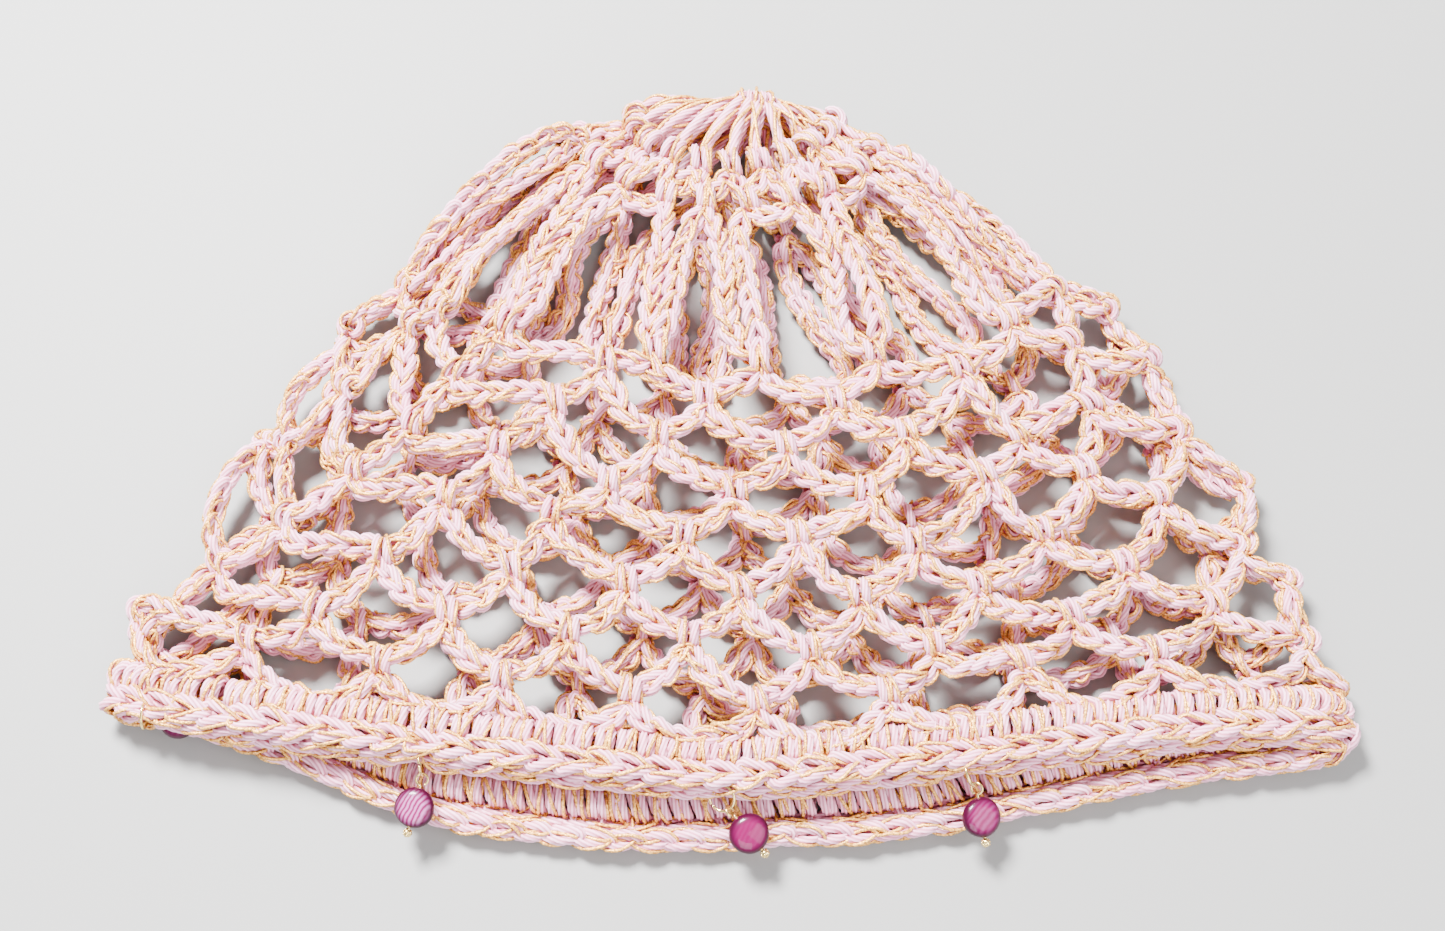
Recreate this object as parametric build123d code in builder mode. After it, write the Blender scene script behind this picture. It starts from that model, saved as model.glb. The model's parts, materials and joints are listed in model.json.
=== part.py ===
from build123d import *
import math
import os

os.makedirs("parts", exist_ok=True)

# A crocheted mesh cap lying flat, with four shell charms hanging from the front of its mouth.
# +X runs along the mouth, +Y to the gathered crown and +Z up from the table. Millimetres.

# Outline of the flat cap
half_width = 128.0          # middle of the mouth to a side fold
side_height = 141.5         # corner of the mouth to the end of the crown
outline_power = 1.65        # 2 is an ellipse, less draws the crown in
crown_end_y = 84.26         # the gathered end of the crown
corner_round = 6.0          # the fold turning into the mouth
outline_steps = 24          # pieces of the curve from fold to fold
corner_y = crown_end_y - side_height

# The two layers and the room for the head between them
layer_thickness = 4.5
mouth_gap = 4.5
side_wall = 4.5             # the layers meet along the side folds
fold_slack = 0.3            # height of the hollow at a side fold
fold_height = 9.0
arch_height = 19.5          # front layer across the middle of the cap
crown_height = 19.0         # gathered stitches stand thicker than the net
crown_solid = 20.0          # length of the gather that holds no hollow
crown_flat = 15.0           # length of the gather that keeps its full height
crown_run = 6.0             # run of the height's curve past the gather's end
crown_drop = 1.5            # its fall over that run
early_rise = 0.25           # share of the rise reached half-way up the cap

# Sag of the two mouth edges below the corners: share of the half width, then mm
front_edge_sag = [(-1.1, 1.5), (-0.78, 8.0), (-0.4, 13.0), (0.0, 16.5), (0.4, 9.0), (0.74, 1.5), (1.1, -2.0)]
back_edge_sag = [(-1.1, 1.0), (-0.78, 7.5), (-0.45, 23.0), (-0.15, 26.0), (0.27, 21.5), (0.74, 7.0), (1.1, 1.0)]
edge_width = 6.0            # finishing braid
row_width = 6.0             # wrapped stitches above it

# Crown
crown_round_radius = 18.0
ring_major = 5.0
ring_minor = 2.5
ring_recess_gap = 0.2

# Charms
jump_ring_radius = 2.7      # wire centre
jump_ring_wire = 0.3
jump_ring_closed = 352      # degrees of wire, the rest is the split
loop_strand_radius = 0.65   # strand of the brim edge that a jump ring passes round
loop_inset = 1.5            # strand's axis, in from the edge
loop_slack = 0.25           # ring's wire to the strand that it hangs on
loop_side_gap = 0.1         # ring to the sides of its opening in the brim edge
loop_back_gap = 0.3         # standing ring to the back of its opening
loop_rise = 2.3             # strand's axis above the underside of the front layer
corner_loop_rise = 0.9      # tucked ring's strand above the side fold
corner_link_rise = 1.2      # tucked pin's link above the back layer
jump_ring_hang = jump_ring_radius - loop_strand_radius - jump_ring_wire - loop_slack
loop_window = 2 * (jump_ring_radius + jump_ring_wire + loop_side_gap)
loop_behind = jump_ring_radius + jump_ring_wire + loop_back_gap
loop_z = layer_thickness + mouth_gap + loop_rise
corner_loop_z = fold_height + corner_loop_rise
corner_drop = corner_loop_z - layer_thickness - corner_link_rise
corner_slope = math.degrees(math.asin(min(1, round(corner_drop / (jump_ring_hang + jump_ring_radius), 9))))
eye_radius = 1.15
pin_wire = 0.25
eye_hang = 0.45             # ring's wire to the eye's centre
eye_closed = 340
bead_radius = 4.0
bead_half_thickness = 1.8
bead_rim = 0.8
bead_bore = 0.31
bead_gap = 0.3              # eye to bead
ball_radius = 0.9
ball_gap = 0.1
bead_clearance = 0.15       # room kept round the tucked bead as it turns
tucked_turn = 95.0          # degrees of the tucked bead's way that are kept clear
hair = 0.02

# Each charm: x of its strand, height, turn in plan, slope, tilt of the ring's plane,
# place of the pin round the ring, turn of the pin on the ring, roll of the bead
charms = [
    (-61.2, loop_z, 14, 17, 0, -2, 26, 0),
    (-1.6, loop_z, 20, 20, -58, -20, -10, 8),
    (47.6, loop_z, 17, 5, 30, 9, 10, -14),
    (11.0 - half_width, corner_loop_z, 0, corner_slope, 0, 0, -corner_slope, 20),
]

tool_low = -5.0
tool_high = 60.0
tool_reach = 2 * half_width


def sag_at(sag, x):
    """Sag of a mouth edge at x, between the two places listed on each side of it."""
    for (s0, d0), (s1, d1) in zip(sag, sag[1:]):
        if x <= s1 * half_width:
            break
    share = (x / half_width - s0) / (s1 - s0)
    return d0 + share * (d1 - d0)


def edge_points(sag, lift):
    """Points of a mouth edge, lifted towards the crown."""
    return [(s * half_width, corner_y - d + lift) for s, d in sag]


def outline_points(inset):
    """The side folds and the crown as one curved line, from right corner to left."""
    width = half_width - inset
    height = side_height - inset
    points = []
    for step in range(outline_steps + 1):
        angle = math.pi * step / outline_steps
        cosine = math.cos(angle)
        x = math.copysign(abs(cosine) ** (2 / outline_power), cosine) * width
        y = corner_y + height * math.sin(angle) ** (2 / outline_power)
        points.append((x, y))
    return points


def plan(height, inset):
    """Sketch the flat cap's outline, running on below the mouth."""
    points = outline_points(inset)
    width = half_width - inset
    turn = corner_round
    foot_y = corner_y - side_height / 2
    with BuildSketch(Plane.XY.offset(height)) as outline:
        with BuildLine():
            Spline(*points)
            right = RadiusArc(points[0], (width - turn, corner_y - turn), turn)
            left = RadiusArc(points[-1], (turn - width, corner_y - turn), -turn)
            Polyline(right @ 1, (width - 3 * turn, foot_y), (3 * turn - width, foot_y), left @ 1)
        make_face()
    return outline.sketch


def side_profile(drop, end_y):
    """Sketch the front layer's height from the mouth to the crown, lowered by drop."""
    mouth_y = corner_y - side_height / 2
    mouth_z = 2 * layer_thickness + mouth_gap - drop
    crown_z = crown_height - drop
    rise = crown_z - mouth_z
    last_y = end_y + crown_run
    heights = [(mouth_y, mouth_z), (corner_y, mouth_z), (0, mouth_z + early_rise * rise), (end_y - crown_flat, crown_z)]
    with BuildSketch(Plane.YZ) as profile:
        with BuildLine():
            top = Spline(*heights, (last_y, crown_z - crown_drop))
            Polyline(top @ 1, (last_y, layer_thickness), (mouth_y, layer_thickness), top @ 0)
        make_face()
    return profile.sketch


def cross_profile(width, foot, height):
    """Sketch the front layer's arch from fold to fold."""
    with BuildSketch(Plane.XZ) as profile:
        with BuildLine():
            arch = ThreePointArc((-width, foot), (0, height), (width, foot))
            Polyline(arch @ 1, (width, layer_thickness), (-width, layer_thickness), arch @ 0)
        make_face()
    return profile.sketch


def charm_frame(charm):
    """Place, axes and directions of one charm at rest."""
    x, z, turn, slope, tilt, place, pin_turn, roll = charm
    y = corner_y - sag_at(front_edge_sag, x) + loop_inset
    strand = Vector(x, y, z)
    along = Vector(1, 0, 0).rotate(Axis.Z, turn)
    hang = Vector(0, -1, 0).rotate(Axis.Z, turn).rotate(Axis((0, 0, 0), along), slope)
    normal = along.rotate(Axis((0, 0, 0), hang), tilt)
    centre = strand + hang * jump_ring_hang
    outward = hang.rotate(Axis((0, 0, 0), normal), place)
    link = centre + outward * jump_ring_radius
    tangent = normal.cross(outward)
    pin = outward.rotate(Axis((0, 0, 0), tangent), pin_turn)
    bead_start = eye_hang + eye_radius + pin_wire + bead_gap
    bead_centre = link + pin * (bead_start + bead_radius)
    ball_centre = bead_centre + pin * (bead_radius + ball_gap + ball_radius)
    up = Vector(0, 0, 1)
    face = (up - pin * up.dot(pin)).normalized().rotate(Axis((0, 0, 0), pin), roll)
    return {
        "strand": strand, "along": along, "hang": hang, "normal": normal, "centre": centre,
        "outward": outward, "link": link, "tangent": tangent, "pin": pin,
        "eye": link + pin * eye_hang, "bead": bead_centre, "ball": ball_centre, "face": face,
    }


bead_shoulder = bead_radius - bead_rim / 2
bead_rise = bead_half_thickness - bead_rim
bead_dome = (bead_shoulder ** 2 + bead_rise ** 2) / (2 * bead_rise)
frames = [charm_frame(charm) for charm in charms]
tucked = frames[3]
ring_centre = Vector(0, crown_end_y - ring_minor, layer_thickness * 2)

# ---------------------------------------------------------------- shared shapes, not pieces

# The back layer before it is parted into its rounds
with BuildPart() as back_layer:
    extrude(plan(0, 0), amount=layer_thickness)

# The room inside: open at the mouth, closed at the folds and the crown
with BuildPart() as head_room:
    extrude(plan(layer_thickness, side_wall), amount=arch_height)
    side = side_profile(layer_thickness, crown_end_y - crown_solid)
    extrude(side, amount=tool_reach, both=True, mode=Mode.INTERSECT)
    cross = cross_profile(half_width - side_wall, layer_thickness + fold_slack, arch_height - layer_thickness)
    extrude(cross, amount=tool_reach, both=True, mode=Mode.INTERSECT)
    with BuildSketch(Plane.XY):
        with Locations((0, crown_end_y)):
            Rectangle(tool_reach, 2 * crown_solid)
    extrude(amount=tool_high, mode=Mode.SUBTRACT)

# The front layer over it
with BuildPart() as front_layer:
    extrude(plan(layer_thickness, 0), amount=arch_height)
    extrude(side_profile(0, crown_end_y), amount=tool_reach, both=True, mode=Mode.INTERSECT)
    extrude(cross_profile(half_width, fold_height, arch_height), amount=tool_reach, both=True, mode=Mode.INTERSECT)
    add(head_room.part, mode=Mode.SUBTRACT)


def band(sag, low, high):
    """Sketch the strip between two lifted copies of a mouth edge."""
    low_points = edge_points(sag, low)
    high_points = edge_points(sag, high)
    with BuildSketch(Plane.XY.offset(tool_low)) as strip:
        with BuildLine():
            Spline(*low_points)
            Line(low_points[-1], high_points[-1])
            Spline(*high_points)
            Line(high_points[0], low_points[0])
        make_face()
    return strip.sketch


def net_field(sag, low):
    """Sketch everything above a lifted copy of a mouth edge, up to the crown round."""
    low_points = edge_points(sag, low)
    far_y = crown_end_y + tool_reach
    with BuildSketch(Plane.XY.offset(tool_low)) as field:
        with BuildLine():
            Spline(*low_points)
            Polyline(low_points[-1], (low_points[-1][0], far_y), (low_points[0][0], far_y), low_points[0])
        make_face()
        with Locations((0, ring_centre.Y)):
            Circle(crown_round_radius, mode=Mode.SUBTRACT)
    return field.sketch


# Recess that seats the crown ring in both layers
with BuildPart() as ring_recess:
    with BuildSketch(Plane(origin=ring_centre - Vector(0, ring_minor, 0), x_dir=(1, 0, 0), z_dir=(0, 1, 0))):
        Circle(ring_major + ring_minor + ring_recess_gap)
    extrude(amount=tool_reach)

# Way of the tucked bead as its jump ring swings out of the mouth
with BuildPart() as tucked_way:
    bead_room = bead_radius + bead_clearance
    with Locations(tucked["bead"]):
        Sphere(bead_room)
    foot = tucked["strand"] + tucked["along"] * (tucked["bead"] - tucked["strand"]).dot(tucked["along"])
    arm = tucked["bead"] - foot
    with BuildSketch(Plane(origin=foot, x_dir=arm, z_dir=tucked["along"].cross(arm))):
        with Locations((max(arm.length, bead_room + hair), 0)):
            Circle(bead_room)
    revolve(axis=Axis(foot, tucked["along"] * -1), revolution_arc=tucked_turn)

# ---------------------------------------------------------------- crown

with BuildPart() as crown_ring:
    with BuildSketch(Plane(origin=ring_centre, x_dir=(1, 0, 0), z_dir=(0, 0, 1))):
        with Locations((ring_major, 0)):
            Circle(ring_minor)
    revolve(axis=Axis(ring_centre, (0, 1, 0)))
crown_ring.part.label = "crown_ring"
export_step(crown_ring.part, "parts/crown_ring.step")

with BuildPart() as crown_round_front:
    with BuildSketch(Plane.XY.offset(tool_low)):
        with Locations((0, ring_centre.Y)):
            Circle(crown_round_radius)
    extrude(amount=tool_high)
    add(front_layer.part, mode=Mode.INTERSECT)
    add(ring_recess.part, mode=Mode.SUBTRACT)
crown_round_front.part.label = "crown_round_front"
export_step(crown_round_front.part, "parts/crown_round_front.step")

with BuildPart() as crown_round_back:
    with BuildSketch(Plane.XY.offset(tool_low)):
        with Locations((0, ring_centre.Y)):
            Circle(crown_round_radius)
    extrude(amount=tool_high)
    add(back_layer.part, mode=Mode.INTERSECT)
    add(ring_recess.part, mode=Mode.SUBTRACT)
crown_round_back.part.label = "crown_round_back"
export_step(crown_round_back.part, "parts/crown_round_back.step")

# ---------------------------------------------------------------- net

with BuildPart() as net_front:
    extrude(net_field(front_edge_sag, edge_width + row_width), amount=tool_high)
    add(front_layer.part, mode=Mode.INTERSECT)
net_front.part.label = "net_front"
export_step(net_front.part, "parts/net_front.step")

with BuildPart() as net_back:
    extrude(net_field(back_edge_sag, edge_width + row_width), amount=tool_high)
    add(back_layer.part, mode=Mode.INTERSECT)
net_back.part.label = "net_back"
export_step(net_back.part, "parts/net_back.step")

# ---------------------------------------------------------------- brim

with BuildPart() as brim_row_front:
    extrude(band(front_edge_sag, edge_width, edge_width + row_width), amount=tool_high)
    add(front_layer.part, mode=Mode.INTERSECT)
    add(tucked_way.part, mode=Mode.SUBTRACT)
brim_row_front.part.label = "brim_row_front"
export_step(brim_row_front.part, "parts/brim_row_front.step")

with BuildPart() as brim_row_back:
    extrude(band(back_edge_sag, edge_width, edge_width + row_width), amount=tool_high)
    add(back_layer.part, mode=Mode.INTERSECT)
    add(tucked_way.part, mode=Mode.SUBTRACT)
brim_row_back.part.label = "brim_row_back"
export_step(brim_row_back.part, "parts/brim_row_back.step")

# The front edge is opened at each charm, and a strand crosses each opening
with BuildPart() as brim_edge_front:
    extrude(band(front_edge_sag, 0, edge_width), amount=tool_high)
    add(front_layer.part, mode=Mode.INTERSECT)
    add(tucked_way.part, mode=Mode.SUBTRACT)
    for frame in frames:
        foot = Vector(frame["strand"].X, frame["strand"].Y, layer_thickness)
        with BuildSketch(Plane(origin=foot, x_dir=frame["along"], z_dir=(0, 0, 1))):
            with Locations((0, loop_behind - edge_width)):
                Rectangle(loop_window, 2 * edge_width)
        extrude(amount=arch_height, mode=Mode.SUBTRACT)
    for frame in frames:
        with BuildSketch(Plane(origin=frame["strand"], z_dir=frame["along"])):
            Circle(loop_strand_radius)
        extrude(amount=loop_window / 2 + loop_strand_radius, both=True)
brim_edge_front.part.label = "brim_edge_front"
export_step(brim_edge_front.part, "parts/brim_edge_front.step")

with BuildPart() as brim_edge_back:
    extrude(band(back_edge_sag, 0, edge_width), amount=tool_high)
    add(back_layer.part, mode=Mode.INTERSECT)
    add(tucked_way.part, mode=Mode.SUBTRACT)
brim_edge_back.part.label = "brim_edge_back"
export_step(brim_edge_back.part, "parts/brim_edge_back.step")

# ---------------------------------------------------------------- charms

for number, frame in enumerate(frames, start=1):
    # Split ring of round wire, its split to one side of the pin
    side = frame["tangent"]
    with BuildPart() as jump_ring:
        with BuildSketch(Plane(origin=frame["centre"], x_dir=side, z_dir=frame["normal"].cross(side))):
            with Locations((jump_ring_radius, 0)):
                Circle(jump_ring_wire)
        revolve(axis=Axis(frame["centre"], frame["normal"]), revolution_arc=jump_ring_closed)
    jump_ring.part.label = f"jump_ring_{number}"
    export_step(jump_ring.part, f"parts/jump_ring_{number}.step")

    # Turned eye, shank and ball end of one wire
    pin = frame["pin"]
    shank_start = frame["eye"] + pin * eye_radius
    with BuildPart() as head_pin:
        with BuildSketch(Plane(origin=frame["eye"], x_dir=pin, z_dir=frame["tangent"].cross(pin))):
            with Locations((eye_radius, 0)):
                Circle(pin_wire)
        revolve(axis=Axis(frame["eye"], frame["tangent"]), revolution_arc=eye_closed)
        with BuildSketch(Plane(origin=shank_start, z_dir=pin)):
            Circle(pin_wire)
        extrude(amount=(frame["ball"] - shank_start).length)
        with Locations(frame["ball"]):
            Sphere(ball_radius)
    head_pin.part.label = f"head_pin_{number}"
    export_step(head_pin.part, f"parts/head_pin_{number}.step")

    # Puffed coin, drilled along the diameter that the pin runs through
    with BuildPart() as shell_bead:
        with BuildSketch(Plane(origin=frame["bead"], x_dir=pin.cross(frame["face"]), z_dir=pin * -1)):
            with BuildLine():
                Line((0, -bead_half_thickness), (0, bead_half_thickness))
                RadiusArc((0, bead_half_thickness), (bead_shoulder, bead_rim), bead_dome)
                ThreePointArc((bead_shoulder, bead_rim), (bead_radius, 0), (bead_shoulder, -bead_rim))
                RadiusArc((bead_shoulder, -bead_rim), (0, -bead_half_thickness), bead_dome)
            make_face()
        revolve(axis=Axis(frame["bead"], frame["face"]))
        with BuildSketch(Plane(origin=frame["bead"], z_dir=pin)):
            Circle(bead_bore)
        extrude(amount=2 * bead_radius, both=True, mode=Mode.SUBTRACT)
    shell_bead.part.label = f"shell_bead_{number}"
    export_step(shell_bead.part, f"parts/shell_bead_{number}.step")
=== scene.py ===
"""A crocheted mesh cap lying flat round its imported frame: cotton chain, gold thread, shell charms."""

import json
import logging
import math
from dataclasses import dataclass, field
from enum import Enum

import bmesh
import bpy
import numpy as np
from mathutils import Matrix, Vector


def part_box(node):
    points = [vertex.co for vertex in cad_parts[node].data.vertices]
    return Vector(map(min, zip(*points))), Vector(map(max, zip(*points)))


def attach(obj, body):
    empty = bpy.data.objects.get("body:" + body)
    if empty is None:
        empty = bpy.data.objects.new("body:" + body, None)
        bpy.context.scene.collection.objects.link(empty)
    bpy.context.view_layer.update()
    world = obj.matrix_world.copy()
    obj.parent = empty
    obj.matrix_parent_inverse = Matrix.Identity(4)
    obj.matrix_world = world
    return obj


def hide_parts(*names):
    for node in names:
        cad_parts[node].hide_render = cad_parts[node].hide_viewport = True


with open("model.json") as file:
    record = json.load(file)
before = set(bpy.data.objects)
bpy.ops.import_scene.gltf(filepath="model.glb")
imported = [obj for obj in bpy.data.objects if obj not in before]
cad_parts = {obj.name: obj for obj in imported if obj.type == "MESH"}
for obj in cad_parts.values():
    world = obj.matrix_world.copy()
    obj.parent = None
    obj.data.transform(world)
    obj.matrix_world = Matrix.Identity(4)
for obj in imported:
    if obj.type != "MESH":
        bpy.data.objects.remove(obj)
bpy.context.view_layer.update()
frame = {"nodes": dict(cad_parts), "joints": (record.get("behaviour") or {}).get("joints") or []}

MM = 0.001
LOG = logging.getLogger("cap")
UP = np.array([0.0, 0.0, 1.0])
STRAIGHT_LAY = 1e6
BEAD_PALENESS = {1: 0.95, 2: 0.03, 3: 0.18, 4: 0.1}


class Slot(Enum):
    """Material slots of the record."""

    COTTON = "cotton"
    GOLD_THREAD = "gold_thread"
    GOLD_WIRE = "gold_wire"
    DYED_SHELL = "dyed_shell"


# ------------------------------------------------------------------ small helpers


def unit(vectors: np.ndarray) -> np.ndarray:
    """Scale vectors to length one."""
    length = np.linalg.norm(vectors, axis=-1, keepdims=True)
    return vectors / np.maximum(length, 1e-9)


def smooth_step(value: np.ndarray) -> np.ndarray:
    """Ease from 0 to 1."""
    held = np.clip(value, 0.0, 1.0)
    return held * held * (3.0 - 2.0 * held)


def signed_power(value: np.ndarray, power: float) -> np.ndarray:
    """Raise numbers to a power and keep their signs."""
    return np.sign(value) * np.abs(value) ** power


def running_length(points: np.ndarray) -> np.ndarray:
    """Length along a line of points, from 0 at its first."""
    steps = np.linalg.norm(np.diff(points, axis=0), axis=1)
    return np.concatenate([[0.0], np.cumsum(steps)])


def sample(points: np.ndarray, lengths: np.ndarray, at: np.ndarray) -> np.ndarray:
    """Read points, or any rows that go with them, at given running lengths."""
    return np.stack([np.interp(at, lengths, points[:, k]) for k in range(points.shape[1])], axis=1)


def through(points: np.ndarray, parts: int) -> np.ndarray:
    """Draw a smooth line through control points.

    Args:
        points: Rows of control points.
        parts: Pieces between one control point and the next.

    Returns:
        Rows of points on a Catmull-Rom curve.
    """
    start, end = points[:-1], points[1:]
    before = np.vstack([2 * points[0] - points[1], points[:-2]])
    after = np.vstack([points[2:], 2 * points[-1] - points[-2]])
    rows = []
    for step in range(parts):
        t = step / parts
        rows.append(0.5 * (2 * start + (end - before) * t
                           + (2 * before - 5 * start + 4 * end - after) * t ** 2
                           + (3 * start - before - 3 * end + after) * t ** 3))
    line = np.stack(rows, axis=1).reshape(-1, points.shape[1])
    return np.vstack([line, points[-1:]])


def bezier(a: np.ndarray, b: np.ndarray, c: np.ndarray, d: np.ndarray, count: int) -> np.ndarray:
    """Points on a cubic Bezier curve, without its last."""
    t = (np.arange(count) / count)[:, None]
    return a * (1 - t) ** 3 + 3 * b * t * (1 - t) ** 2 + 3 * c * t ** 2 * (1 - t) + d * t ** 3


# ------------------------------------------------------------------ finishes


def grey(value: float) -> tuple:
    """Make a grey, from 0 for black to 1 for white."""
    return (value, value, value)


@dataclass
class NodeSheet:
    """A material and its node tree, with short ways to add to it."""

    name: str

    def __post_init__(self) -> None:
        """Make the material."""
        self.material = bpy.data.materials.new(self.name)
        self.material.use_nodes = True
        self.tree = self.material.node_tree

    def fill(self, node: bpy.types.Node, inputs: dict) -> None:
        """Set a node's inputs.

        Args:
            node: The node.
            inputs: A value, or a socket to link, for each input.
        """
        for title, value in inputs.items():
            if isinstance(value, bpy.types.NodeSocket):
                self.tree.links.new(value, node.inputs[title])
            else:
                node.inputs[title].default_value = value

    def add(self, kind: str, inputs: dict) -> bpy.types.Node:
        """Add a node.

        Args:
            kind: What kind of node.
            inputs: A value, or a socket to link, for each input.

        Returns:
            The node.
        """
        node = self.tree.nodes.new(kind)
        self.fill(node, inputs)
        return node

    def place(self) -> bpy.types.NodeSocket:
        """Add the coordinates of the piece."""
        return self.add("ShaderNodeTexCoord", {}).outputs["Object"]

    def noise(self, scale: float, detail: float) -> bpy.types.NodeSocket:
        """Add a noise texture of so many cells to a metre, and give its number output."""
        inputs = {"Scale": scale, "Detail": detail, "Vector": self.place()}
        return self.add("ShaderNodeTexNoise", inputs).outputs["Fac"]

    def ramp(self, source: bpy.types.NodeSocket, low: tuple, high: tuple) -> bpy.types.NodeSocket:
        """Add a ramp from one colour to another.

        Args:
            source: Socket that drives it.
            low: Place and linear colour of its start.
            high: Place and linear colour of its end.

        Returns:
            Its colour output.
        """
        ramp = self.add("ShaderNodeValToRGB", {"Fac": source})
        for element, (place, colour) in zip(ramp.color_ramp.elements, (low, high)):
            element.position = place
            element.color = (*colour, 1.0)
        return ramp.outputs["Color"]

    def attribute(self, name: str) -> bpy.types.NodeSocket:
        """Add a node that reads a number kept on the mesh.

        Args:
            name: Attribute's name.

        Returns:
            Its number output.
        """
        node = self.add("ShaderNodeAttribute", {})
        node.attribute_name = name
        return node.outputs["Fac"]

    def mix(self, blend: str, share: object, first: object, second: object) -> bpy.types.NodeSocket:
        """Add a colour mix.

        Args:
            blend: Blend type.
            share: Number or socket.
            first: Colour or socket.
            second: Colour or socket.

        Returns:
            The mixed colour.
        """
        share_input, first_input, second_input, mixed = 0, 6, 7, 2
        node = self.add("ShaderNodeMix", {})
        node.data_type = "RGBA"
        node.blend_type = blend
        colours = [(*c, 1.0) if isinstance(c, tuple) else c for c in (first, second)]
        self.fill(node, {share_input: share, first_input: colours[0], second_input: colours[1]})
        return node.outputs[mixed]

    def shaded(self, colour: bpy.types.NodeSocket, shade: tuple) -> bpy.types.NodeSocket:
        """Darken a colour with painted shade in the hollows between yarns."""
        painted_shade = self.ramp(self.attribute("painted_shade"), (0.12, grey(0.0)), (0.75, grey(1.0)))
        return self.mix("MULTIPLY", painted_shade, colour, shade)

    def bump(self, height: bpy.types.NodeSocket, distance: float,
             strength: float) -> bpy.types.NodeSocket:
        """Add a bump of a distance in metres, of which the strength shows."""
        inputs = {"Distance": distance, "Strength": strength, "Height": height}
        return self.add("ShaderNodeBump", inputs).outputs["Normal"]

    def finish(self, colour: bpy.types.NodeSocket, inputs: dict) -> bpy.types.Material:
        """Set the surface's colour and other inputs, and give the material."""
        self.fill(self.tree.nodes["Principled BSDF"], {"Base Color": colour, **inputs})
        return self.material


@dataclass(frozen=True)
class CottonFinish:
    """Pale pink mercerised cotton, with painted shade: darker and warmer between its plies and in the
    hollows between yarns.
    """

    light: tuple = (0.95, 0.55, 0.71)
    middle: tuple = (0.88, 0.40, 0.57)
    # Colour of the painted shade in the valleys between plies.
    deep: tuple = (0.46, 0.12, 0.20)
    # Colour that multiplies in as painted shade in the hollows between yarns.
    shade: tuple = (0.58, 0.28, 0.30)

    def material(self) -> bpy.types.Material:
        """Make the material.

        Returns:
            The cotton material.
        """
        sheet = NodeSheet("cotton_yarn")
        patches = sheet.ramp(sheet.noise(90.0, 3.0), (0.30, self.middle), (0.62, self.light))
        # Painted shade between plies: the valley points are mixed towards the deep colour.
        valley = sheet.ramp(sheet.attribute("valley"), (0.30, grey(0.0)), (1.0, grey(0.95)))
        ply_shaded = sheet.mix("MIX", valley, patches, self.deep)
        # Painted shade: the colour is darkened in the hollows between yarns.
        return sheet.finish(sheet.shaded(ply_shaded, self.shade), {
            "Normal": sheet.bump(sheet.noise(5200.0, 2.0), 0.00006, 0.5),
            "Roughness": 0.82,
            "Specular IOR Level": 0.25,
            "Sheen Weight": 0.25,
            "Sheen Roughness": 0.45,
            "Sheen Tint": (1.0, 0.88, 0.93, 1.0),
        })


@dataclass(frozen=True)
class GoldThreadFinish:
    """Metallic thread with painted glints, bright spots between darker ones, and painted shade in the
    hollows between yarns.
    """

    # The painted glints run from the dark colour to the bright one.
    bright: tuple = (0.96, 0.52, 0.13)
    dark: tuple = (0.50, 0.22, 0.035)
    # Colour that multiplies in as painted shade in the hollows between yarns.
    shade: tuple = (0.62, 0.40, 0.24)

    def material(self) -> bpy.types.Material:
        """Make the material.

        Returns:
            The gold thread material.
        """
        sheet = NodeSheet("gold_thread")
        # Painted glints: fine noise sets bright spots in the thread's colour; the same noise bumps the
        # surface.
        glint = sheet.noise(2300.0, 1.0)
        painted_glints = sheet.ramp(glint, (0.38, self.dark), (0.56, self.bright))
        # Painted shade: the colour is darkened in the hollows between yarns.
        return sheet.finish(sheet.shaded(painted_glints, self.shade), {
            "Normal": sheet.bump(glint, 0.00025, 0.9),
            "Metallic": 0.35,
            "Roughness": 0.36,
        })


@dataclass(frozen=True)
class GoldWireFinish:
    """Polished pale gold plating with a little handling wear."""

    plate: tuple = (0.86, 0.66, 0.27)
    worn: tuple = (0.66, 0.46, 0.16)

    def material(self) -> bpy.types.Material:
        """Make the material.

        Returns:
            The wire material.
        """
        sheet = NodeSheet("gold_wire")
        wear = sheet.noise(900.0, 4.0)
        return sheet.finish(sheet.ramp(wear, (0.35, self.worn), (0.55, self.plate)), {
            "Roughness": sheet.ramp(wear, (0.3, grey(0.32)), (0.6, grey(0.16))),
            "Normal": sheet.bump(wear, 0.00002, 0.4),
            "Metallic": 1.0,
        })


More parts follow.
